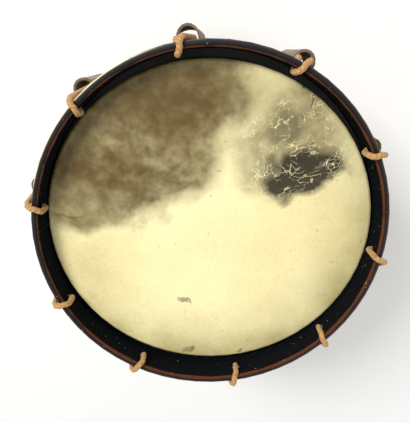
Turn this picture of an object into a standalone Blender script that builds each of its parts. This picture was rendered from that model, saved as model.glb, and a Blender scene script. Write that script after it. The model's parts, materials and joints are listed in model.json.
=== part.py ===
"""Rope-tensioned side drum, standing on the rope loops of its bottom hoop.

The axis of the drum is Z and its batter head faces +Z. Angles are measured
from +X, counterclockwise as seen from above. A rope zigzags between two
wooden counterhoops, and a leather tug on each pair of strands slides down to
draw them together and tighten both skins.
"""

import math

import bmesh
import bpy
from mathutils import Matrix, Vector

# Overall sizes
HOOP_RADIUS = 0.200
DRUM_HEIGHT = 0.320
SHELL_RADIUS = 0.1855
HOOP_OVAL = 0.011
SHELL_OVAL = 0.010

# Walls, sections and depths
HOOP_THICKNESS = 0.0075
HOOP_DEPTH = 0.040
HOOP_ROUNDING = 0.002
HEAD_RECESS = 0.028
SHELL_WALL = 0.0016
BEARING_BEAD = 0.0030
SKIN_THICKNESS = 0.0009
FLESH_HOOP_WIDTH = 0.0075
FLESH_HOOP_DEPTH = 0.011
SKIN_LIP = 0.006

# Lacing
PAIR_COUNT = 10
ROPE_RADIUS = 0.00325
HOLE_RADIUS = 0.0065
HOLE_INSET = 0.020
KNOT_SWELL = 1.5
LOOP_SHIFT = math.radians(2.2)
TUG_LAG = math.radians(3.4)
STRAND_HALF_ANGLE = math.radians(1.6)
ARRIVAL_SHIFT = math.radians(3.0)
KNOT_SPREAD = math.radians(4.4)

# Tugs
TUG_LENGTH = 0.066
TUG_LEATHER = 0.0028
TUG_TRAVEL = 0.040
TUG_ARCH = 0.0125
TUG_TOP_WIDTH = 0.024
TUG_END_WIDTH = 0.036
TUG_HOOP_GAP = 0.0135
SLACK_PAIR = 0
SLACK_SWING = math.radians(7.0)
SLACK_LIFT = 0.014
SLACK_DROP = 0.012

# Vent
VENT_RADIUS = 0.0030
VENT_WALL = 0.0014
VENT_FLANGE = 0.0070
VENT_FLANGE_THICKNESS = 0.0008
VENT_ANGLE = math.radians(54.0)

# Clearances
GAP = 0.0003
LOOP_CLEARANCE = 0.0008

# Standing: the flat worn on each bottom loop, and the lift that puts it at zero
LOOP_FLAT = ROPE_RADIUS / 5.0
STAND_HEIGHT = 2.0 * ROPE_RADIUS + LOOP_CLEARANCE - LOOP_FLAT

# The slack tug reaches out at +X, so the drum moves back by half of that
BOX_CENTRE_X = 0.00539

# Mesh fineness
RING_SEGMENTS = 60
TUG_ARC_STEPS = 8
HOLE_SEGMENTS = 14
LOOP_STEPS = 2

# Colours and finishes: base colour, metallic, roughness
BLACK_PAINT = ((0.030, 0.024, 0.020, 1.0), 0.0, 0.38)
CALF_SKIN = ((0.68, 0.62, 0.36, 1.0), 0.0, 0.50)
BARE_ASH = ((0.36, 0.22, 0.11, 1.0), 0.0, 0.60)
SHEET_BRASS = ((0.62, 0.44, 0.18, 1.0), 1.0, 0.34)
HEMP_ROPE = ((0.50, 0.32, 0.14, 1.0), 0.0, 0.85)
BUFF_LEATHER = ((0.66, 0.60, 0.45, 1.0), 0.0, 0.80)


def oval(radius, angle, amount):
    """Return a radius stretched along X, or along Y where amount is negative."""
    return radius * (1.0 + amount * math.cos(2.0 * angle))


def hoop_outer(angle):
    """Return the radius of a counterhoop's outer face at an angle."""
    return oval(HOOP_RADIUS, angle, -HOOP_OVAL)


def polar(radius, angle, height):
    """Return a point from its radius, angle and height."""
    return Vector((radius * math.cos(angle), radius * math.sin(angle), height))


def make_material(name, finish):
    """Make a Principled material from a colour, metallic and roughness."""
    colour, metallic, roughness = finish
    material = bpy.data.materials.new(name)
    material.use_nodes = True
    shader = material.node_tree.nodes["Principled BSDF"]
    shader.inputs["Base Color"].default_value = colour
    shader.inputs["Metallic"].default_value = metallic
    shader.inputs["Roughness"].default_value = roughness
    return material


def link_mesh(name, mesh, material):
    """Put a mesh in the scene as a named object with one material."""
    mesh.materials.append(material)
    piece = bpy.data.objects.new(name, mesh)
    bpy.context.scene.collection.objects.link(piece)
    return piece


def finish_mesh(name, mesh_builder, material, sharp_degrees=35.0):
    """Turn a bmesh into a smooth-shaded object with its sharp edges kept."""
    bmesh.ops.recalc_face_normals(mesh_builder, faces=mesh_builder.faces)
    mesh = bpy.data.meshes.new(name)
    mesh_builder.to_mesh(mesh)
    mesh_builder.free()
    mesh.shade_smooth()
    mesh.set_sharp_from_angle(angle=math.radians(sharp_degrees))
    return link_mesh(name, mesh, material)


def ring_angle(step):
    """Return the angle of a ring's corner, so that flats face X and Y."""
    return 2.0 * math.pi * (step + 0.5) / RING_SEGMENTS


def turned_ring(name, profile, material):
    """Turn a closed profile of (radius, height, ovality) points into a ring.

    A point whose radius is zero closes the ring on the axis.
    """
    builder = bmesh.new()
    columns = []
    for radius, height, amount in profile:
        if radius == 0.0:
            columns.append([builder.verts.new((0.0, 0.0, height))] * RING_SEGMENTS)
            continue
        columns.append([
            builder.verts.new(polar(oval(radius, ring_angle(i), amount), ring_angle(i), height))
            for i in range(RING_SEGMENTS)
        ])
    for index, column in enumerate(columns):
        following = columns[(index + 1) % len(columns)]
        for i in range(RING_SEGMENTS):
            j = (i + 1) % RING_SEGMENTS
            corners = [column[i], column[j], following[j], following[i]]
            unique = list(dict.fromkeys(corners))
            if len(unique) > 2:
                builder.faces.new(unique)
    return finish_mesh(name, builder, material)


def flipped(profile):
    """Turn a profile of the top end into the same profile at the bottom end."""
    return [(radius, DRUM_HEIGHT - height, amount) for radius, height, amount in profile]


def at_end(name, profile, material, at_top):
    """Turn a ring at the top end of the drum or mirrored at the bottom end."""
    return turned_ring(name, profile if at_top else flipped(profile), material)


def pair_angle(index):
    """Return the angle of a rope hole; pairs are counted clockwise."""
    return -2.0 * math.pi * index / PAIR_COUNT


def cut_holes(target, centres, radius, depth):
    """Bore radial holes through a ring with one joined, unshown cutter."""
    builder = bmesh.new()
    for angle, reach, height in centres:
        turn = Matrix.Rotation(angle, 4, "Z") @ Matrix.Rotation(math.pi / 2.0, 4, "Y")
        place = Matrix.Translation(polar(reach, angle, height))
        bmesh.ops.create_cone(
            builder, cap_ends=True, segments=HOLE_SEGMENTS, radius1=radius,
            radius2=radius, depth=depth, matrix=place @ turn)
    mesh = bpy.data.meshes.new(target.name + "_cutter")
    builder.to_mesh(mesh)
    builder.free()
    cutter = bpy.data.objects.new(target.name + "_cutter", mesh)
    bpy.context.scene.collection.objects.link(cutter)
    cutter.hide_render = True
    cutter.display_type = "WIRE"
    boolean = target.modifiers.new("holes", "BOOLEAN")
    boolean.operation = "DIFFERENCE"
    boolean.solver = "EXACT"
    boolean.object = cutter


def build_shell(brass):
    """Roll the brass shell, with a rounded bead at each bearing edge."""
    top = DRUM_HEIGHT - HEAD_RECESS - SKIN_THICKNESS - GAP
    inner = SHELL_RADIUS - SHELL_WALL
    bead_in = SHELL_RADIUS - 2.0 * BEARING_BEAD
    upper = [
        (inner, top - 3.0 * BEARING_BEAD, SHELL_OVAL),
        (bead_in, top - 1.5 * BEARING_BEAD, SHELL_OVAL),
        (bead_in + BEARING_BEAD / 3.0, top - BEARING_BEAD / 3.0, SHELL_OVAL),
        (bead_in + BEARING_BEAD, top, SHELL_OVAL),
        (SHELL_RADIUS - BEARING_BEAD / 3.0, top - BEARING_BEAD / 3.0, SHELL_OVAL),
        (SHELL_RADIUS, top - BEARING_BEAD, SHELL_OVAL),
    ]
    shell = turned_ring("shell", upper + list(reversed(flipped(upper))), brass)
    reach = oval(SHELL_RADIUS, VENT_ANGLE, SHELL_OVAL)
    tube_radius = VENT_RADIUS + VENT_WALL
    cut_holes(shell, [(VENT_ANGLE, reach, DRUM_HEIGHT / 2.0)], tube_radius + GAP, VENT_FLANGE)


def build_vent(brass):
    """Spin the vent's eyelet, with a flange inside and outside the shell."""
    wall = SHELL_WALL + 2.0 * GAP
    tube_radius = VENT_RADIUS + VENT_WALL - GAP
    half = wall / 2.0 + GAP
    outside = half + VENT_FLANGE_THICKNESS
    profile = [
        (VENT_RADIUS, outside), (VENT_FLANGE, half + VENT_FLANGE_THICKNESS / 2.0),
        (VENT_FLANGE, half), (tube_radius, half), (tube_radius, -half),
        (VENT_FLANGE, -half), (VENT_FLANGE, -outside), (VENT_RADIUS, -outside),
    ]
    builder = bmesh.new()
    steps = 2 * HOLE_SEGMENTS
    rows = [
        [builder.verts.new(polar(radius, 2.0 * math.pi * i / steps, height)) for i in range(steps)]
        for radius, height in profile
    ]
    for index, row in enumerate(rows):
        following = rows[(index + 1) % len(rows)]
        for i in range(steps):
            j = (i + 1) % steps
            builder.faces.new([row[i], row[j], following[j], following[i]])
    reach = oval(SHELL_RADIUS, VENT_ANGLE, SHELL_OVAL) - SHELL_WALL / 2.0
    eyelet = finish_mesh("vent_eyelet", builder, brass)
    eyelet.location = polar(reach, VENT_ANGLE, DRUM_HEIGHT / 2.0)
    eyelet.rotation_euler = (0.0, math.pi / 2.0, VENT_ANGLE)


def build_head(name, skin, at_top):
    """Lap a skin over its bearing edge, down the shell and over its flesh hoop."""
    face = DRUM_HEIGHT - HEAD_RECESS
    under = face - SKIN_THICKNESS
    seat = DRUM_HEIGHT - HOOP_DEPTH - GAP
    collar_in = SHELL_RADIUS + GAP
    collar_out = collar_in + SKIN_THICKNESS
    lip_in = flesh_outer() + GAP
    lip_out = lip_in + SKIN_THICKNESS
    turn = BEARING_BEAD
    profile = [
        (0.0, face, SHELL_OVAL),
        (collar_out - turn, face, SHELL_OVAL),
        (collar_out - turn / 3.0, face - turn / 3.0, SHELL_OVAL),
        (collar_out, face - turn, SHELL_OVAL),
        (collar_out, seat, SHELL_OVAL / 2.0),
        (lip_out, seat, 0.0),
        (lip_out, seat - SKIN_LIP, 0.0),
        (lip_in, seat - SKIN_LIP, 0.0),
        (lip_in, seat - SKIN_THICKNESS, 0.0),
        (collar_in + GAP, seat - SKIN_THICKNESS, SHELL_OVAL),
        (collar_in, face - turn, SHELL_OVAL),
        (collar_in - turn / 3.0, under - turn / 3.0, SHELL_OVAL),
        (collar_in - turn, under, SHELL_OVAL),
        (0.0, under, SHELL_OVAL),
    ]
    at_end(name, profile, skin, at_top)


def flesh_inner():
    """Return the inner radius of a flesh hoop, clear of the widest shell."""
    return SHELL_RADIUS * (1.0 + SHELL_OVAL) + SKIN_THICKNESS + 3.0 * GAP


def flesh_outer():
    """Return the outer radius of a flesh hoop."""
    return flesh_inner() + FLESH_HOOP_WIDTH


def build_flesh_hoop(name, wood, at_top):
    """Bend the plain hoop that the edge of a skin is tucked round."""
    top = DRUM_HEIGHT - HOOP_DEPTH - SKIN_THICKNESS - 2.0 * GAP
    low = top - FLESH_HOOP_DEPTH
    chamfer = HOOP_ROUNDING
    profile = [
        (flesh_inner(), top, 0.0), (flesh_outer(), top, 0.0),
        (flesh_outer(), low + chamfer, 0.0), (flesh_outer() - chamfer, low, 0.0),
        (flesh_inner(), low, 0.0),
    ]
    at_end(name, profile, wood, at_top)


def build_counterhoop(name, paint, at_top):
    """Bend a counterhoop, round its playing edge and bore its rope holes."""
    inner = HOOP_RADIUS - HOOP_THICKNESS
    low = DRUM_HEIGHT - HOOP_DEPTH
    rounding = HOOP_ROUNDING
    shaved = rounding * (1.0 - math.sqrt(0.5))
    profile = [
        (inner, low, -HOOP_OVAL),
        (inner, DRUM_HEIGHT - rounding, -HOOP_OVAL),
        (inner + shaved, DRUM_HEIGHT - shaved, -HOOP_OVAL),
        (inner + rounding, DRUM_HEIGHT, -HOOP_OVAL),
        (HOOP_RADIUS - rounding, DRUM_HEIGHT, -HOOP_OVAL),
        (HOOP_RADIUS - shaved, DRUM_HEIGHT - shaved, -HOOP_OVAL),
        (HOOP_RADIUS, DRUM_HEIGHT - rounding, -HOOP_OVAL),
        (HOOP_RADIUS, low, -HOOP_OVAL),
    ]
    hoop = at_end(name, profile, paint, at_top)
    height = DRUM_HEIGHT - HOLE_INSET if at_top else HOLE_INSET
    middle = HOOP_THICKNESS / 2.0
    centres = [
        (pair_angle(k), hoop_outer(pair_angle(k)) - middle, height) for k in range(PAIR_COUNT)
    ]
    cut_holes(hoop, centres, HOLE_RADIUS, 3.0 * HOOP_THICKNESS)


def rope_stand_off():
    """Return how far the rope's centre lies outside a hoop's face."""
    return ROPE_RADIUS + LOOP_CLEARANCE


def through_hole(angle, arrival):
    """Return the rope's points from outside a hoop, through its hole, to inside.

    A point is (reach beyond the outer face, depth below the hoop's edge, angle).
    """
    out = rope_stand_off()
    into = -HOOP_THICKNESS - out
    slope = ROPE_RADIUS / 4.0
    return [
        (out, HOLE_INSET + HOLE_RADIUS + ROPE_RADIUS, arrival),
        (out - ROPE_RADIUS / 6.0, HOLE_INSET + HOLE_RADIUS - ROPE_RADIUS / 2.0, angle),
        (0.0, HOLE_INSET + slope, angle),
        (-HOOP_THICKNESS, HOLE_INSET - slope, angle),
        (into + ROPE_RADIUS / 8.0, HOLE_INSET - HOLE_RADIUS + ROPE_RADIUS * 0.7, angle),
        (into, HOLE_INSET - HOLE_RADIUS - ROPE_RADIUS, angle),
    ]


def over_edge(angle):
    """Return the rope's points over a hoop's edge, from inside to outside."""
    bend = HOOP_ROUNDING + rope_stand_off()
    inner_corner = -HOOP_THICKNESS + HOOP_ROUNDING
    outer_corner = -HOOP_ROUNDING
    points = []
    for corner, start in ((inner_corner, math.pi), (outer_corner, math.pi / 2.0)):
        for step in range(LOOP_STEPS + 1):
            swing = start - math.pi / 2.0 * step / LOOP_STEPS
            reach = corner + bend * math.cos(swing)
            depth = HOOP_ROUNDING - bend * math.sin(swing)
            share = (math.pi - swing) / math.pi
            points.append((reach, depth, angle - LOOP_SHIFT * share))
    return points


def hoop_points(points, at_top):
    """Place points given as (reach, depth, angle) on the top or bottom hoop."""
    placed = []
    for reach, depth, angle in points:
        height = DRUM_HEIGHT - depth if at_top else depth
        placed.append(polar(hoop_outer(angle) + reach, angle, height))
    return placed


def pair_place(index):
    """Return the angle, radius and top height of a pair's tug at rest."""
    angle = pair_angle(index) - TUG_LAG
    radius = hoop_outer(angle) + rope_stand_off()
    top = DRUM_HEIGHT - HOOP_DEPTH - TUG_HOOP_GAP
    if index == SLACK_PAIR:
        return angle - SLACK_SWING, radius + SLACK_LIFT, top - SLACK_DROP
    return angle, radius, top


def pair_strand(index, side):
    """Return a strand's points along its tug's path, top first.

    Side is +1 for the strand that goes up and -1 for the one that comes down.
    """
    angle, radius, top = pair_place(index)
    low = top - TUG_LENGTH - TUG_TRAVEL - 2.0 * ROPE_RADIUS
    offset = radius * math.tan(STRAND_HALF_ANGLE) * side
    outward = Vector((math.cos(angle), math.sin(angle), 0.0))
    along = Vector((-math.sin(angle), math.cos(angle), 0.0))
    foot = outward * radius + along * offset
    return [foot + Vector((0.0, 0.0, top)), foot + Vector((0.0, 0.0, low))]


def rope_route():
    """Return the rope's points and swells from its first knot to its last."""
    first = pair_angle(0)
    into = -HOOP_THICKNESS - KNOT_SWELL * ROPE_RADIUS - LOOP_CLEARANCE
    knot = [
        (into, HOLE_INSET + depth * ROPE_RADIUS, first - KNOT_SPREAD + LOOP_SHIFT)
        for depth in (1.0, -0.5, -2.0)
    ]
    route = hoop_points(knot + over_edge(first - KNOT_SPREAD + LOOP_SHIFT), False)
    for index in range(PAIR_COUNT):
        angle = pair_angle(index)
        after = pair_angle(index + 1)
        going_up = pair_strand(index, 1)
        coming_down = pair_strand(index, -1)
        route += [going_up[1], going_up[0]]
        route += hoop_points(through_hole(angle, angle) + over_edge(angle), True)
        route += coming_down
        face = [(rope_stand_off(), HOOP_DEPTH + ROPE_RADIUS, after + ARRIVAL_SHIFT)]
        arrival = through_hole(after, after + ARRIVAL_SHIFT / 4.0)
        if index < PAIR_COUNT - 1:
            route += hoop_points(face + arrival + over_edge(after), False)
        else:
            route += hoop_points(face + arrival[:-2], False)
    end_knot = [
        (into, HOLE_INSET - depth * ROPE_RADIUS, first) for depth in (0.4, 1.6, 2.8)
    ]
    route += hoop_points(end_knot, False)
    swells = [1.0] * len(route)
    swells[0] = swells[1] = KNOT_SWELL
    swells[-1] = swells[-2] = KNOT_SWELL
    return route, swells


def flatten_below(target, height):
    """Cut a piece flat at a height with an unshown slab below it."""
    builder = bmesh.new()
    size = 3.0 * HOOP_RADIUS
    thickness = HOOP_DEPTH
    place = Matrix.Translation((0.0, 0.0, height - thickness / 2.0))
    bmesh.ops.create_cube(builder, size=1.0, matrix=place @ Matrix.Diagonal((size, size, thickness, 1.0)))
    mesh = bpy.data.meshes.new("ground_cutter")
    builder.to_mesh(mesh)
    builder.free()
    cutter = bpy.data.objects.new("ground_cutter", mesh)
    bpy.context.scene.collection.objects.link(cutter)
    cutter.hide_render = True
    cutter.display_type = "WIRE"
    boolean = target.modifiers.new("flats", "BOOLEAN")
    boolean.operation = "DIFFERENCE"
    boolean.solver = "EXACT"
    boolean.object = cutter


def build_rope(hemp):
    """Lay the whole tension rope as one tube along its route."""
    route, swells = rope_route()
    curve = bpy.data.curves.new("tension_rope", "CURVE")
    curve.dimensions = "3D"
    curve.bevel_depth = ROPE_RADIUS
    curve.bevel_resolution = 2
    curve.use_fill_caps = True
    spline = curve.splines.new("POLY")
    spline.points.add(len(route) - 1)
    for point, place, swell in zip(spline.points, route, swells):
        point.co = (place.x, place.y, place.z, 1.0)
        point.radius = swell
    tube = bpy.data.objects.new("rope_tube", curve)
    bpy.context.scene.collection.objects.link(tube)
    mesh = bpy.data.meshes.new_from_object(tube)
    bpy.data.objects.remove(tube, do_unlink=True)
    mesh.shade_smooth()
    rope = link_mesh("tension_rope", mesh, hemp)
    flatten_below(rope, -STAND_HEIGHT)


def tug_section(width, thickness):
    """Return one loop of a tug's section as (tangential, radial) points."""
    half = width / 2.0 + thickness
    floor = -rope_stand_off() + GAP - thickness
    corner = thickness / 2.0
    points = [(-half + corner, floor), (half - corner, floor), (half, floor + corner)]
    for step in range(TUG_ARC_STEPS + 1):
        swing = math.pi * step / TUG_ARC_STEPS
        points.append((half * math.cos(swing), (TUG_ARCH + thickness) * math.sin(swing)))
    points.append((-half, floor + corner))
    return points


def build_tug(index, leather):
    """Fold a tug's leather round its pair of strands, wider at its lower end."""
    angle, radius, top = pair_place(index)
    stations = [(0.0, TUG_TOP_WIDTH), (TUG_LENGTH / 2.0, TUG_TOP_WIDTH * 1.15),
                (TUG_LENGTH, TUG_END_WIDTH)]
    builder = bmesh.new()
    skins = []
    for thickness in (0.0, TUG_LEATHER):
        rows = []
        for down, width in stations:
            rows.append([
                builder.verts.new((radial, along, -down))
                for along, radial in tug_section(width - TUG_LEATHER, thickness)
            ])
        skins.append(rows)
    count = len(skins[0][0])
    for rows in skins:
        for upper, lower in zip(rows, rows[1:]):
            for i in range(count):
                j = (i + 1) % count
                builder.faces.new([upper[i], upper[j], lower[j], lower[i]])
    for end in (0, -1):
        inside, outside = skins[0][end], skins[1][end]
        for i in range(count):
            j = (i + 1) % count
            builder.faces.new([inside[i], inside[j], outside[j], outside[i]])
    tug = finish_mesh("tug_%02d" % (index + 1), builder, leather, 50.0)
    tug.location = polar(radius, angle, top)
    tug.rotation_euler = (0.0, 0.0, angle)


def main():
    """Clear the scene and build every piece of the drum."""
    for leftover in list(bpy.data.objects):
        bpy.data.objects.remove(leftover, do_unlink=True)
    paint = make_material("black_paint", BLACK_PAINT)
    skin = make_material("calf_skin", CALF_SKIN)
    ash = make_material("bare_ash", BARE_ASH)
    brass = make_material("sheet_brass", SHEET_BRASS)
    hemp = make_material("hemp_rope", HEMP_ROPE)
    leather = make_material("buff_leather", BUFF_LEATHER)
    build_shell(brass)
    build_vent(brass)
    for side, at_top in (("batter", True), ("bottom", False)):
        build_head(side + "_head", skin, at_top)
        build_flesh_hoop(side + "_flesh_hoop", ash, at_top)
        build_counterhoop(side + "_counterhoop", paint, at_top)
    build_rope(hemp)
    for index in range(PAIR_COUNT):
        build_tug(index, leather)
    for piece in bpy.data.objects:
        piece.location.x -= BOX_CENTRE_X
        piece.location.z += STAND_HEIGHT


main()
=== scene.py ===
"""Looks for the rope-tension drum: finishes, ground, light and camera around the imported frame.

The drum stands upright in the frame, +Z along its axis, with its batter head
on top. Lengths are in metres and angles in radians unless a name says mm.
"""

import json
import logging
import math
from dataclasses import dataclass, field
from enum import Enum
from typing import Any

import bpy
from mathutils import Matrix, Vector

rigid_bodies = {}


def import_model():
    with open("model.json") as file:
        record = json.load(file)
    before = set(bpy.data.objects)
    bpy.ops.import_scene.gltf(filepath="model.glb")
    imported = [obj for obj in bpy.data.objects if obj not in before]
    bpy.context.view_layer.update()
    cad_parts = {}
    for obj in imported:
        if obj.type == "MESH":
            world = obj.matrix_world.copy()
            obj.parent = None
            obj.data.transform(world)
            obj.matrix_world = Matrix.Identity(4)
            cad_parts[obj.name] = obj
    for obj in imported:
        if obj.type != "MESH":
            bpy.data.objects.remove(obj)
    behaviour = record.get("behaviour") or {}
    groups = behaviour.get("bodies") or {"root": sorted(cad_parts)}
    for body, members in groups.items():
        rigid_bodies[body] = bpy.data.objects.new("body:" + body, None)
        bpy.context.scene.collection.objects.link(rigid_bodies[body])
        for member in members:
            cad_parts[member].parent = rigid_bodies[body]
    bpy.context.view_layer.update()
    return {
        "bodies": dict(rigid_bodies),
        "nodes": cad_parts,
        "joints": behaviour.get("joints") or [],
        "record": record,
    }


log = logging.getLogger("drum")

# The drum's axis, its main levels and its radius in the frame
AXIS_X = -0.00539
EDGE_LEVEL = 0.32665
HEAD_LEVEL = 0.29865
HOOP_RADIUS = 0.200
HOOP_OVAL = 0.011

# Units and colour
MM_PER_METRE = 1000.0
WHITE = (1.0, 1.0, 1.0, 1.0)
BUMP_STRENGTH = 0.6

# Input and output numbers of the colour mix, and the second output of vector maths
MIX_SHARE, MIX_FIRST, MIX_SECOND, MIX_OUT = 0, 6, 7, 2
VECTOR_VALUE = 1

Triple = tuple[float, float, float]
Socket = bpy.types.NodeSocket


class Side(Enum):
    """The two ends of the drum."""

    BATTER = "batter"
    BOTTOM = "bottom"


def srgb(code: str) -> tuple[float, float, float, float]:
    """Convert an sRGB hex colour to a linear colour.

    Args:
        code: Six hex digits after a hash sign.

    Returns:
        The linear colour with full alpha.
    """
    parts = [int(code[i:i + 2], 16) / 255.0 for i in (1, 3, 5)]
    linear = [p / 12.92 if p <= 0.04045 else ((p + 0.055) / 1.055) ** 2.4 for p in parts]
    return (linear[0], linear[1], linear[2], 1.0)


@dataclass(frozen=True)
class Span:
    """The two values that a map range turns into 0 and 1."""

    start: float
    end: float

    def of(self, value: Any) -> dict[Any, Any]:
        """Return the inputs that map a value over this span."""
        return {0: value, 1: self.start, 2: self.end}


@dataclass(frozen=True)
class Pattern:
    """A noise pattern, by the size of its patches in millimetres and its detail."""

    size_mm: float
    detail: float

    def of(self, place: Socket) -> dict[Any, Any]:
        """Return the inputs of a noise texture at a place."""
        return {"Vector": place, "Scale": MM_PER_METRE / self.size_mm, "Detail": self.detail}


@dataclass
class Graph:
    """A material's node tree with one way to add a node."""

    material: bpy.types.Material

    @classmethod
    def new(cls, name: str) -> "Graph":
        """Make a material whose tree is empty."""
        material = bpy.data.materials.new(name)
        material.use_nodes = True
        material.node_tree.nodes.clear()
        return cls(material)

    def add(self, kind: str, inputs: dict[Any, Any] | None = None, out: int = 0, **settings: Any) -> Any:
        """Add a node, set its properties, and set or link its inputs.

        Args:
            kind: The node's type without its ShaderNode prefix.
            inputs: Values or output sockets by input name or number.
            out: The number of the output to return.
            **settings: Properties of the node.

        Returns:
            The chosen output socket, or the node where it has no outputs.
        """
        node = self.material.node_tree.nodes.new("ShaderNode" + kind)
        for key, value in settings.items():
            setattr(node, key, value)
        for key, value in (inputs or {}).items():
            if isinstance(value, Socket):
                self.material.node_tree.links.new(value, node.inputs[key])
            else:
                node.inputs[key].default_value = value
        return node.outputs[out] if len(node.outputs) else node

    def place(self, stretch: Triple = (1.0, 1.0, 1.0)) -> Socket:
        """Return the position on the object in metres, stretched per axis.

        Args:
            stretch: How much finer a pattern gets along X, Y and Z.

        Returns:
            The position's socket.
        """
        spot = self.material.node_tree.nodes.new("ShaderNodeTexCoord").outputs["Object"]
        return self.add("VectorMath", {0: spot, 1: stretch}, operation="MULTIPLY")

    def product(self, first: Any, *others: Any) -> Socket:
        """Return the product of two or more values.

        Args:
            first: The first value or socket.
            *others: The values or sockets to multiply it by.

        Returns:
            The product's socket.
        """
        result = first
        for other in others:
            result = self.add("Math", {0: result, 1: other}, operation="MULTIPLY")
        return result

    def lay(self, share: Any, under: Any, code: str) -> Socket:
        """Lay a colour over another by a share.

        Args:
            share: How much of the new colour shows, 0 to 1.
            under: The colour below it.
            code: The new colour as sRGB hex.

        Returns:
            The mixed colour's socket.
        """
        inputs = {MIX_SHARE: share, MIX_FIRST: under, MIX_SECOND: srgb(code)}
        return self.add("Mix", inputs, out=MIX_OUT, data_type="RGBA")

    def close(self, height: Socket, depth: float, **surface: Any) -> bpy.types.Material:
        """End the tree with a Principled surface whose bump follows a height.

        Args:
            height: The height's socket, 0 to 1.
            depth: What a full step of height is, in metres.
            **surface: Principled inputs, with underscores for spaces.

        Returns:
            The finished material.
        """
        bump = self.add("Bump", {"Height": height, "Strength": BUMP_STRENGTH, "Distance": depth})
        inputs = {key.replace("_", " "): value for key, value in surface.items()}
        shader = self.add("BsdfPrincipled", {**inputs, "Normal": bump})
        self.add("OutputMaterial", {"Surface": shader})
        return self.material


@dataclass(frozen=True)
class Blotch:
    """A soft oval mark on a head, placed from the drum's axis in metres."""

    x: float
    y: float
    half_width: float
    half_height: float
    turn: float
    strength: float
    soft: float

    def cover(self, graph: Graph, spot: Socket) -> Socket:
        """Return how strongly the mark covers the skin.

        Args:
            graph: The skin's node tree.
            spot: The wandered position on the skin.

        Returns:
            A socket from 0 to the mark's strength.
        """
        moved = graph.add("Mapping", {
            "Vector": spot,
            "Location": (AXIS_X + self.x, self.y, HEAD_LEVEL),
            "Rotation": (0.0, 0.0, self.turn),
            "Scale": (self.half_width, self.half_height, 1.0),
        }, vector_type="TEXTURE")
        distance = graph.add("VectorMath", {0: moved}, out=VECTOR_VALUE, operation="LENGTH")
        edge = Span(1.0 + self.soft, 1.0 - self.soft)
        return graph.product(graph.add("MapRange", edge.of(distance)), self.strength)


# The oil stain at the upper left, the lighter one beside it, and a streak at the rim
OIL_STAINS = (
    Blotch(-0.092, 0.092, 0.100, 0.080, 0.30, 0.92, 0.16),
    Blotch(-0.135, 0.022, 0.056, 0.052, 0.00, 0.80, 0.20),
    Blotch(-0.045, 0.148, 0.062, 0.050, 0.10, 0.85, 0.25),
    Blotch(0.076, 0.112, 0.054, 0.058, 0.20, 0.66, 0.30),
    Blotch(0.164, 0.085, 0.012, 0.030, 0.30, 0.55, 0.40),
    Blotch(-0.168, -0.002, 0.016, 0.002, 0.00, 0.60, 0.50),
)

# The darkest blotch with its fainter neighbour, a dash, two rust spots and two dark spots
DARK_MARKS = (
    Blotch(0.094, 0.074, 0.036, 0.030, 0.20, 0.95, 0.20),
    Blotch(0.070, 0.125, 0.022, 0.016, 0.60, 0.45, 0.50),
    Blotch(-0.017, -0.102, 0.011, 0.0015, -0.10, 0.60, 0.40),
    Blotch(0.004, -0.175, 0.004, 0.003, 0.00, 0.60, 0.40),
    Blotch(0.046, -0.173, 0.003, 0.003, 0.00, 0.60, 0.40),
    Blotch(0.069, 0.162, 0.003, 0.003, 0.00, 0.70, 0.40),
    Blotch(0.091, 0.148, 0.003, 0.003, 0.00, 0.70, 0.40),
)


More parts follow.
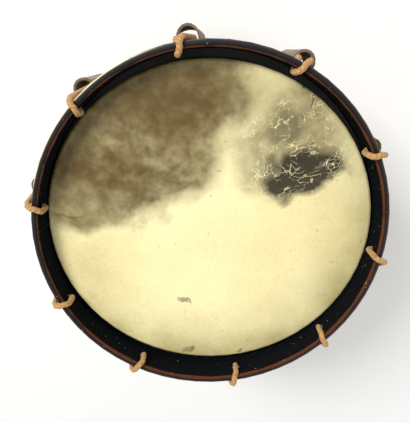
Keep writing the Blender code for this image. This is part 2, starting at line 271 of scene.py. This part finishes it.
@dataclass(frozen=True)
class Calfskin:
    """Scraped calfskin parchment: satin, cream-yellow, with brown oil stains.

    The scraped surface scatters light softly. Stains have soaked in, so they
    darken the skin without changing how it shines. Pores and grain are drawn
    several times coarser than real ones, which would not show.
    """

    clean: str = "#F0E6B0"
    warm: str = "#D8BE78"
    stain: str = "#584312"
    dark: str = "#231B07"
    handled: str = "#B3A66E"
    scratch: str = "#E4D9A8"
    # Near black for the collar down in the gap: painted shade, with grime
    gap_shade_and_grime: str = "#14120E"
    stains: tuple[Blotch, ...] = ()
    marks: tuple[Blotch, ...] = ()
    rubbed: Blotch = Blotch(0.085, 0.105, 0.070, 0.068, 0.30, 0.85, 0.25)
    wander_pattern: Pattern = Pattern(62.5, 6.0)
    wander_reach: float = 0.09
    mottle: Pattern = Pattern(111.11, 5.0)
    mottle_span: Span = Span(0.40, 0.72)
    mottle_share: float = 0.45
    rim: Span = Span(0.110, 0.186)
    rim_share: float = 0.95
    rim_pattern: Pattern = Pattern(71.429, 5.0)
    rim_span: Span = Span(0.25, 0.65)
    soak: Pattern = Pattern(13.333, 8.0)
    soak_span: Span = Span(0.30, 0.62)
    soak_least: float = 0.72
    crack_size_mm: float = 8.3333
    crack_span: Span = Span(0.050, 0.020)
    break_pattern: Pattern = Pattern(16.667, 3.0)
    break_span: Span = Span(0.46, 0.58)
    pore: Pattern = Pattern(4.1667, 4.0)
    pore_span: Span = Span(0.42, 0.70)
    pore_share: float = 0.07
    fleck: Pattern = Pattern(7.6923, 3.0)
    fleck_span: Span = Span(0.68, 0.76)
    fleck_share: float = 0.35
    collar_start: Span = Span(HEAD_LEVEL - 0.0015, HEAD_LEVEL - 0.0040)
    collar_end: Span = Span(HEAD_LEVEL - 0.032, HEAD_LEVEL - 0.030)
    grain: Pattern = Pattern(2.381, 4.0)
    grain_depth: float = 0.00015
    roughness: Span = Span(0.42, 0.58)
    specular: float = 0.4

    def wandered(self, graph: Graph, place: Socket) -> Socket:
        """Return the position, pushed about so that the edges of marks are ragged."""
        cloud = graph.add("TexNoise", self.wander_pattern.of(place), out=1)
        centred = graph.add("VectorMath", {0: cloud, 1: (0.5, 0.5, 0.5)}, operation="SUBTRACT")
        push = graph.add("VectorMath", {0: centred, "Scale": self.wander_reach}, operation="SCALE")
        return graph.add("VectorMath", {0: place, 1: push}, operation="ADD")

    def bare_skin(self, graph: Graph, place: Socket, mottled: Socket) -> Socket:
        """Return the clean skin's colour, warmer in clouds and darker near the rim."""
        colour = graph.lay(graph.product(mottled, self.mottle_share), srgb(self.clean), self.warm)
        centre = (AXIS_X, 0.0, HEAD_LEVEL)
        away = graph.add("VectorMath", {0: place, 1: centre}, out=VECTOR_VALUE, operation="DISTANCE")
        rim = graph.product(graph.add("MapRange", self.rim.of(away)), self.rim_share)
        patchy = graph.add("MapRange", self.rim_span.of(graph.add("TexNoise", self.rim_pattern.of(place))))
        return graph.lay(graph.product(rim, patchy), colour, self.handled)

    def stained(self, graph: Graph, place: Socket, spot: Socket, colour: Socket) -> Socket:
        """Return the colour with the stains soaked in unevenly and the marks on top."""
        noise = graph.add("TexNoise", self.soak.of(place))
        uneven = graph.add("MapRange", {**self.soak_span.of(noise), 3: self.soak_least, 4: 1.0})
        for blotch in self.stains:
            colour = graph.lay(graph.product(blotch.cover(graph, spot), uneven), colour, self.stain)
        for blotch in self.marks:
            colour = graph.lay(blotch.cover(graph, spot), colour, self.dark)
        return colour

    def scratched(self, graph: Graph, place: Socket, spot: Socket, colour: Socket) -> Socket:
        """Return the colour with a broken net of pale scratches on the rubbed patch."""
        cells = {"Vector": spot, "Scale": MM_PER_METRE / self.crack_size_mm}
        crack = graph.add("TexVoronoi", cells, feature="DISTANCE_TO_EDGE")
        line = graph.add("MapRange", self.crack_span.of(crack))
        noise = graph.add("TexNoise", self.break_pattern.of(place))
        broken = graph.add("MapRange", self.break_span.of(noise))
        return graph.lay(graph.product(line, self.rubbed.cover(graph, spot), broken), colour, self.scratch)

    def speckled(self, graph: Graph, place: Socket, colour: Socket) -> Socket:
        """Return the colour with its faint pores and darker flecks."""
        for pattern, span, share in (
            (self.pore, self.pore_span, self.pore_share),
            (self.fleck, self.fleck_span, self.fleck_share),
        ):
            spots = graph.add("MapRange", span.of(graph.add("TexNoise", pattern.of(place))))
            colour = graph.lay(graph.product(spots, share), colour, self.dark)
        return colour

    def collar_painted_shade_and_grime(self, graph: Graph, place: Socket, colour: Socket) -> Socket:
        """Return the colour with the batter head's collar darkened to near black: painted shade of the gap
        round it, with grime.
        """
        split = graph.add("SeparateXYZ", {0: place}, out=2)
        below = graph.add("MapRange", self.collar_start.of(split))
        above = graph.add("MapRange", self.collar_end.of(split))
        return graph.lay(graph.product(below, above), colour, self.gap_shade_and_grime)

    def build(self, name: str) -> bpy.types.Material:
        """Build the skin's material.

        Args:
            name: The material's name.

        Returns:
            The finished material.
        """
        graph = Graph.new(name)
        place = graph.place()
        spot = self.wandered(graph, place)
        mottled = graph.add("MapRange", self.mottle_span.of(graph.add("TexNoise", self.mottle.of(place))))
        colour = self.bare_skin(graph, place, mottled)
        colour = self.stained(graph, place, spot, colour)
        colour = self.scratched(graph, place, spot, colour)
        colour = self.speckled(graph, place, colour)
        colour = self.collar_painted_shade_and_grime(graph, place, colour)
        rough = graph.add("MapRange", {0: mottled, 3: self.roughness.start, 4: self.roughness.end})
        grain = graph.add("TexNoise", self.grain.of(place))
        return graph.close(
            grain, self.grain_depth, Base_Color=colour, Roughness=rough, Specular_IOR_Level=self.specular)


@dataclass(frozen=True)
class WornPaint:
    """Old black oil paint on bent ash, rubbed to brown wood along the corners.

    The paint has a soft gloss outside and is dull with dirt inside. Hands and
    rope have polished through it at the corners, where the wood shows reddish
    brown. On one side the outer corner carries a pale painted highlight strip.
    """

    paint: str = "#131518"
    wood: str = "#5C3420"
    bare: str = "#B59A72"
    # Painted highlight: the pale colour of the strip on the lit outer corner
    painted_highlight: str = "#EBDFA8"
    wear_height: Span = Span(EDGE_LEVEL - 0.0045, EDGE_LEVEL - 0.0008)
    outer_corner: Span = Span(0.1975, 0.1992)
    inner_corner: Span = Span(0.1950, 0.1933)
    patch: Pattern = Pattern(23.8095, 6.0)
    worn_side: Span = Span(-0.05, 0.14)
    worn_side_share: float = 0.45
    wear_span: Span = Span(0.28, 0.50)
    # Where the painted highlight strip lies: its direction, width, radius, height and patches
    strip_direction: tuple[float, float] = (-0.82, 0.57)
    strip_width: Span = Span(0.84, 0.93)
    strip_radius: Span = Span(0.1982, 0.1993)
    strip_height: Span = Span(EDGE_LEVEL - 0.014, EDGE_LEVEL - 0.007)
    strip_patch: Span = Span(0.30, 0.45)
    nick: Pattern = Pattern(3.84615, 2.0)
    nick_span: Span = Span(0.72, 0.77)
    nick_share: float = 0.8
    roughness: Span = Span(0.42, 0.65)
    grain: Pattern = Pattern(16.667, 5.0)
    grain_stretch: Triple = (1.0, 1.0, 14.0)
    grain_depth: float = 0.0006
    gloss_radius: Span = Span(0.1935, 0.1985)
    gloss: float = 0.45

    def true_radius(self, graph: Graph, x: Socket, y: Socket) -> tuple[Socket, Socket]:
        """Return the distance from the axis, and the same with the hoop's oval taken out.

        Args:
            graph: The paint's node tree.
            x: The distance from the axis along X.
            y: The distance from the axis along Y.

        Returns:
            The plain distance and the distance on a round hoop.
        """
        squares = {0: graph.product(x, x), 1: graph.product(y, y)}
        total = graph.add("Math", squares, operation="ADD")
        reach = graph.add("Math", {0: total}, operation="SQRT")
        difference = graph.add("Math", squares, operation="SUBTRACT")
        double = graph.add("Math", {0: difference, 1: total}, operation="DIVIDE")
        shrink = graph.add("Math", {0: 1.0, 1: graph.product(double, HOOP_OVAL)}, operation="SUBTRACT")
        return reach, graph.add("Math", {0: reach, 1: shrink}, operation="DIVIDE")

    def worn(self, graph: Graph, x: Socket, y: Socket, height: Socket, true: Socket, patch: Socket) -> Socket:
        """Return the paint's colour, rubbed to wood at the corners of the edge."""
        near = graph.add("MapRange", self.wear_height.of(height))
        outer = graph.add("MapRange", self.outer_corner.of(true))
        inner = graph.add("MapRange", self.inner_corner.of(true))
        corners = graph.add("Math", {0: outer, 1: inner}, operation="MAXIMUM")
        across = graph.add("Math", {0: x, 1: y}, operation="SUBTRACT")
        side = graph.product(graph.add("MapRange", self.worn_side.of(across)), self.worn_side_share)
        amount = graph.add("Math", {0: side, 1: corners}, operation="ADD")
        rubbed = graph.add("MapRange", self.wear_span.of(graph.product(near, amount, patch)))
        return graph.lay(rubbed, srgb(self.paint), self.wood)

    def painted_highlight_strip(self, graph: Graph, x: Socket, y: Socket, height: Socket, reach: Socket,
                   true: Socket, patch: Socket) -> Socket:
        """Return where the painted highlight strip on the outer corner shows, as 0 to 1."""
        along = graph.add("Math", {
            0: graph.product(y, self.strip_direction[1]),
            1: graph.product(x, self.strip_direction[0]),
        }, operation="ADD")
        toward = graph.add("Math", {0: along, 1: reach}, operation="DIVIDE")
        return graph.product(
            graph.add("MapRange", self.strip_width.of(toward)),
            graph.add("MapRange", self.strip_radius.of(true)),
            graph.add("MapRange", self.strip_height.of(height)),
            graph.add("MapRange", self.strip_patch.of(patch)))

    def build(self, name: str) -> bpy.types.Material:
        """Build the hoops' material.

        Args:
            name: The material's name.

        Returns:
            The finished material.
        """
        graph = Graph.new(name)
        place = graph.place()
        x = graph.add("Math", {0: graph.add("SeparateXYZ", {0: place}), 1: AXIS_X}, operation="SUBTRACT")
        y = graph.add("SeparateXYZ", {0: place}, out=1)
        height = graph.add("SeparateXYZ", {0: place}, out=2)
        reach, true = self.true_radius(graph, x, y)
        patch = graph.add("TexNoise", self.patch.of(place))
        colour = self.worn(graph, x, y, height, true, patch)
        # Painted highlight: a pale strip on the outer corner on the side towards the light
        colour = graph.lay(self.painted_highlight_strip(graph, x, y, height, reach, true, patch), colour, self.painted_highlight)
        nick = graph.add("MapRange", self.nick_span.of(graph.add("TexNoise", self.nick.of(place))))
        colour = graph.lay(graph.product(nick, self.nick_share), colour, self.bare)
        rough = graph.add("MapRange", {0: patch, 3: self.roughness.start, 4: self.roughness.end})
        grain = graph.add("TexNoise", self.grain.of(graph.place(self.grain_stretch)))
        gloss = graph.product(graph.add("MapRange", self.gloss_radius.of(true)), self.gloss)
        return graph.close(
            grain, self.grain_depth, Base_Color=colour, Roughness=rough, Specular_IOR_Level=gloss)


@dataclass(frozen=True)
class LaidHemp:
    """Three-strand laid hemp: dull fibres in slanted strands, with painted shade in the grooves between.

    The strands are drawn every 5 mm, a little coarser than real ones, and the
    fibres are drawn about 1 mm apart, far coarser than real ones.
    """

    lit: str = "#BE9256"
    # Painted shade for the grooves; the lit colour is for the strand crests
    groove_painted_shade: str = "#4E331B"
    pitch: float = 0.005
    slant: float = 0.8
    wave_half: float = 0.5
    wave_middle: float = 1.0
    strand_share: float = 0.75
    fibre_share: float = 0.35
    fibre: Pattern = Pattern(1.1111, 4.0)
    fibre_stretch: Triple = (1.0, 1.0, 0.3)
    light: Span = Span(0.15, 0.85)
    depth: float = 0.0012
    roughness: float = 0.88
    sheen: float = 0.15

    def strands(self, graph: Graph) -> Socket:
        """Return the height of the strands, by how far the rope runs up, out and around."""
        place = graph.place()
        y = graph.add("SeparateXYZ", {0: place}, out=1)
        height = graph.add("SeparateXYZ", {0: place}, out=2)
        x = graph.add("Math", {0: graph.add("SeparateXYZ", {0: place}), 1: AXIS_X}, operation="SUBTRACT")
        around = graph.product(graph.add("Math", {0: y, 1: x}, operation="ARCTAN2"), HOOP_RADIUS, self.slant)
        flat = graph.add("CombineXYZ", {0: x, 1: y})
        reach = graph.add("VectorMath", {0: flat}, out=VECTOR_VALUE, operation="LENGTH")
        rise = graph.add("Math", {0: height, 1: reach}, operation="SUBTRACT")
        path = graph.add("Math", {0: rise, 1: around}, operation="ADD")
        wave = graph.add("Math", {0: graph.product(path, 2.0 * math.pi / self.pitch)}, operation="SINE")
        return graph.add(
            "Math", {0: wave, 1: self.wave_half, 2: self.wave_middle}, operation="MULTIPLY_ADD")

    def build(self, name: str) -> bpy.types.Material:
        """Build the rope's material.

        Args:
            name: The material's name.

        Returns:
            The finished material.
        """
        graph = Graph.new(name)
        strands = graph.product(self.strands(graph), self.strand_share)
        fibres = graph.add("TexNoise", self.fibre.of(graph.place(self.fibre_stretch)))
        height = graph.add("Math", {0: strands, 1: graph.product(fibres, self.fibre_share)}, operation="ADD")
        # Painted light and shade: crests get the lit colour, grooves the painted shade
        colour = graph.lay(graph.add("MapRange", self.light.of(height)), srgb(self.groove_painted_shade), self.lit)
        return graph.close(
            height, self.depth, Base_Color=colour, Roughness=self.roughness, Sheen_Weight=self.sheen)


@dataclass(frozen=True)
class BuffLeather:
    """Oil-tanned buff leather, napped on both faces: matt, darker where it was handled.

    The nap is drawn at 0.7 mm, coarser than the real one, so that it shows.
    """

    pale: str = "#D8CFB0"
    handled: str = "#8F7D57"
    cloud: Pattern = Pattern(18.1818, 6.0)
    cloud_span: Span = Span(0.45, 0.75)
    nap: Pattern = Pattern(0.714286, 4.0)
    nap_depth: float = 0.0003
    roughness: float = 0.9
    sheen: float = 0.25

    def build(self, name: str) -> bpy.types.Material:
        """Build the leather's material.

        Args:
            name: The material's name.

        Returns:
            The finished material.
        """
        graph = Graph.new(name)
        place = graph.place()
        cloud = graph.add("MapRange", self.cloud_span.of(graph.add("TexNoise", self.cloud.of(place))))
        colour = graph.lay(cloud, srgb(self.pale), self.handled)
        nap = graph.add("TexNoise", self.nap.of(place))
        return graph.close(
            nap, self.nap_depth, Base_Color=colour, Roughness=self.roughness, Sheen_Weight=self.sheen)


@dataclass(frozen=True)
class RolledBrass:
    """Rolled sheet brass, dulled by age: fine scratches round the drum and brown clouds."""

    bright: str = "#C9A45A"
    dull: str = "#7D5E30"
    cloud: Pattern = Pattern(83.3333, 6.0)
    cloud_span: Span = Span(0.4, 0.7)
    scratch: Pattern = Pattern(16.6667, 4.0)
    scratch_stretch: Triple = (1.0, 1.0, 30.0)
    scratch_depth: float = 0.0001
    roughness: Span = Span(0.28, 0.5)

    def build(self, name: str) -> bpy.types.Material:
        """Build the brass material.

        Args:
            name: The material's name.

        Returns:
            The finished material.
        """
        graph = Graph.new(name)
        cloud = graph.add("TexNoise", self.cloud.of(graph.place()))
        colour = graph.lay(graph.add("MapRange", self.cloud_span.of(cloud)), srgb(self.bright), self.dull)
        scratch = graph.add("TexNoise", self.scratch.of(graph.place(self.scratch_stretch)))
        rough = graph.add("MapRange", {0: cloud, 3: self.roughness.start, 4: self.roughness.end})
        return graph.close(scratch, self.scratch_depth, Base_Color=colour, Metallic=1.0, Roughness=rough)


@dataclass(frozen=True)
class BareAsh:
    """Steam-bent ash left bare: open grain running round the hoop, dry and matt."""

    pale: str = "#C4A277"
    dark: str = "#8B6239"
    grain: Pattern = Pattern(45.4545, 6.0)
    grain_stretch: Triple = (1.0, 1.0, 40.0)
    grain_span: Span = Span(0.4, 0.65)
    grain_depth: float = 0.0004
    roughness: float = 0.7

    def build(self, name: str) -> bpy.types.Material:
        """Build the ash material.

        Args:
            name: The material's name.

        Returns:
            The finished material.
        """
        graph = Graph.new(name)
        lines = graph.add("TexNoise", self.grain.of(graph.place(self.grain_stretch)))
        colour = graph.lay(graph.add("MapRange", self.grain_span.of(lines)), srgb(self.pale), self.dark)
        return graph.close(lines, self.grain_depth, Base_Color=colour, Roughness=self.roughness)


@dataclass(frozen=True)
class StudioPaper:
    """Matt white studio paper with a faint tooth, which spreads light without a shine."""

    paper: str = "#F4F4F1"
    tooth_shade: str = "#F0F0EE"
    tooth: Pattern = Pattern(3.33333, 3.0)
    tooth_depth: float = 0.0001
    roughness: float = 0.9

    def build(self, name: str) -> bpy.types.Material:
        """Build the ground's material.

        Args:
            name: The material's name.

        Returns:
            The finished material.
        """
        graph = Graph.new(name)
        tooth = graph.add("TexNoise", self.tooth.of(graph.place()))
        colour = graph.lay(tooth, srgb(self.paper), self.tooth_shade)
        return graph.close(tooth, self.tooth_depth, Base_Color=colour, Roughness=self.roughness)


@dataclass
class Assembly:
    """CAD nodes of the drum that share one finish."""

    nodes: list[str]
    finish: Any
    material: str

    def dress(self, frame: dict[str, Any]) -> None:
        """Give every node of the assembly its finish.

        Args:
            frame: The loaded frame.
        """
        material = self.finish.build(self.material)
        for name in self.nodes:
            piece = frame["nodes"][name]
            piece.data.materials.clear()
            piece.data.materials.append(material)
            log.info("dressed %s with %s", name, self.material)


@dataclass
class Shell(Assembly):
    """The brass shell with its vent eyelet."""

    nodes: list[str] = field(default_factory=lambda: ["shell", "vent_eyelet"])
    finish: Any = RolledBrass()
    material: str = "rolled_brass"


@dataclass
class BatterHead(Assembly):
    """The stained head that is played."""

    nodes: list[str] = field(default_factory=lambda: ["batter_head"])
    finish: Any = Calfskin(stains=OIL_STAINS, marks=DARK_MARKS)
    material: str = "batter_calfskin"


@dataclass
class BottomHead(Assembly):
    """The plain head underneath."""

    nodes: list[str] = field(default_factory=lambda: ["bottom_head"])
    finish: Any = Calfskin()
    material: str = "bottom_calfskin"


@dataclass
class FleshHoops(Assembly):
    """The bare hoops that the heads are tucked round."""

    nodes: list[str] = field(default_factory=lambda: [side.value + "_flesh_hoop" for side in Side])
    finish: Any = BareAsh()
    material: str = "bare_ash"


@dataclass
class Counterhoops(Assembly):
    """The painted hoops that the rope is laced through."""

    nodes: list[str] = field(default_factory=lambda: [side.value + "_counterhoop" for side in Side])
    finish: Any = WornPaint()
    material: str = "worn_black_paint"


@dataclass
class TensionRope(Assembly):
    """The one rope between the counterhoops."""

    nodes: list[str] = field(default_factory=lambda: ["tension_rope"])
    finish: Any = LaidHemp()
    material: str = "laid_hemp"


@dataclass
class PaleTug(Assembly):
    """The slack tug, in the buff leather's own pale colour."""

    nodes: list[str] = field(default_factory=lambda: ["tug_01"])
    finish: Any = BuffLeather()
    material: str = "buff_leather"


@dataclass
class PaintedShadeTugs(Assembly):
    """The other nine tugs, in the buff leather painted darker as painted shade."""

    nodes: list[str] = field(default_factory=lambda: [f"tug_{index:02d}" for index in range(2, 11)])
    # Darker copy of the buff leather: painted shade
    finish: Any = BuffLeather(pale="#7A6850", handled="#3A2D20")
    material: str = "buff_leather_painted_shade"


@dataclass
class SoftLight:
    """A square soft light that looks at the drum."""

    name: str
    place: Triple
    size: float
    power: float
    target: Triple = (0.0, 0.0, 0.2)

    def hang(self) -> None:
        """Hang the light."""
        data = bpy.data.lights.new(self.name, "AREA")
        data.size = self.size
        data.energy = self.power
        light = bpy.data.objects.new(self.name, data)
        light.location = self.place
        aim = Vector(self.target) - Vector(self.place)
        light.rotation_euler = aim.to_track_quat("-Z", "Y").to_euler()
        bpy.context.scene.collection.objects.link(light)
        log.info("hung %s", self.name)


@dataclass
class Studio:
    """The pale ground, the soft light from the upper left and the photo's camera."""

    ground_half: float = 8.0
    key: SoftLight = field(default_factory=lambda: SoftLight("key_light", (-1.1, 0.9, 1.7), 0.6, 34.0))
    fill: SoftLight = field(default_factory=lambda: SoftLight("fill_light", (1.4, -1.2, 1.5), 1.6, 7.0))
    room_strength: float = 0.66
    camera_place: Triple = (-0.0386, 0.1766, 0.76925)
    camera_right: Triple = (0.9902, 0.1399, 0.0049)
    camera_forward: Triple = (0.0501, -0.3218, -0.9455)
    lens_mm: float = 37.76
    sensor_mm: float = 36.0

    def lay_ground(self) -> None:
        """Lay the ground at the level the drum stands on."""
        mesh = bpy.data.meshes.new("ground")
        half = self.ground_half
        corners = [(-half, -half, 0), (half, -half, 0), (half, half, 0), (-half, half, 0)]
        mesh.from_pydata(corners, [], [(0, 1, 2, 3)])
        mesh.materials.append(StudioPaper().build("studio_paper"))
        ground = bpy.data.objects.new("ground", mesh)
        bpy.context.scene.collection.objects.link(ground)
        log.info("laid the ground")

    def fill_room(self) -> None:
        """Fill the room with soft white light."""
        world = bpy.data.worlds.new("studio")
        world.use_nodes = True
        background = world.node_tree.nodes["Background"]
        background.inputs["Color"].default_value = WHITE
        background.inputs["Strength"].default_value = self.room_strength
        bpy.context.scene.world = world

    def set_camera(self) -> None:
        """Place the camera where the photo was taken from."""
        data = bpy.data.cameras.new("camera")
        data.sensor_fit = "HORIZONTAL"
        data.sensor_width = self.sensor_mm
        data.lens = self.lens_mm
        camera = bpy.data.objects.new("camera", data)
        forward = Vector(self.camera_forward).normalized()
        right = Vector(self.camera_right).normalized()
        turn = Matrix((right, right.cross(forward), -forward)).transposed().to_4x4()
        camera.matrix_world = Matrix.Translation(self.camera_place) @ turn
        bpy.context.scene.collection.objects.link(camera)
        bpy.context.scene.camera = camera

    def build(self) -> None:
        """Build the whole studio."""
        self.lay_ground()
        self.key.hang()
        self.fill.hang()
        self.fill_room()
        self.set_camera()
        bpy.context.scene.view_settings.view_transform = "Standard"


def main() -> None:
    """Load the frame, dress it and build the studio."""
    logging.basicConfig(level=logging.INFO, format="%(name)s: %(message)s")
    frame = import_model()
    for assembly in (Shell, BatterHead, BottomHead, FleshHoops, Counterhoops, TensionRope, PaleTug, PaintedShadeTugs):
        assembly().dress(frame)
    Studio().build()


if __name__ == "__main__":
    main()
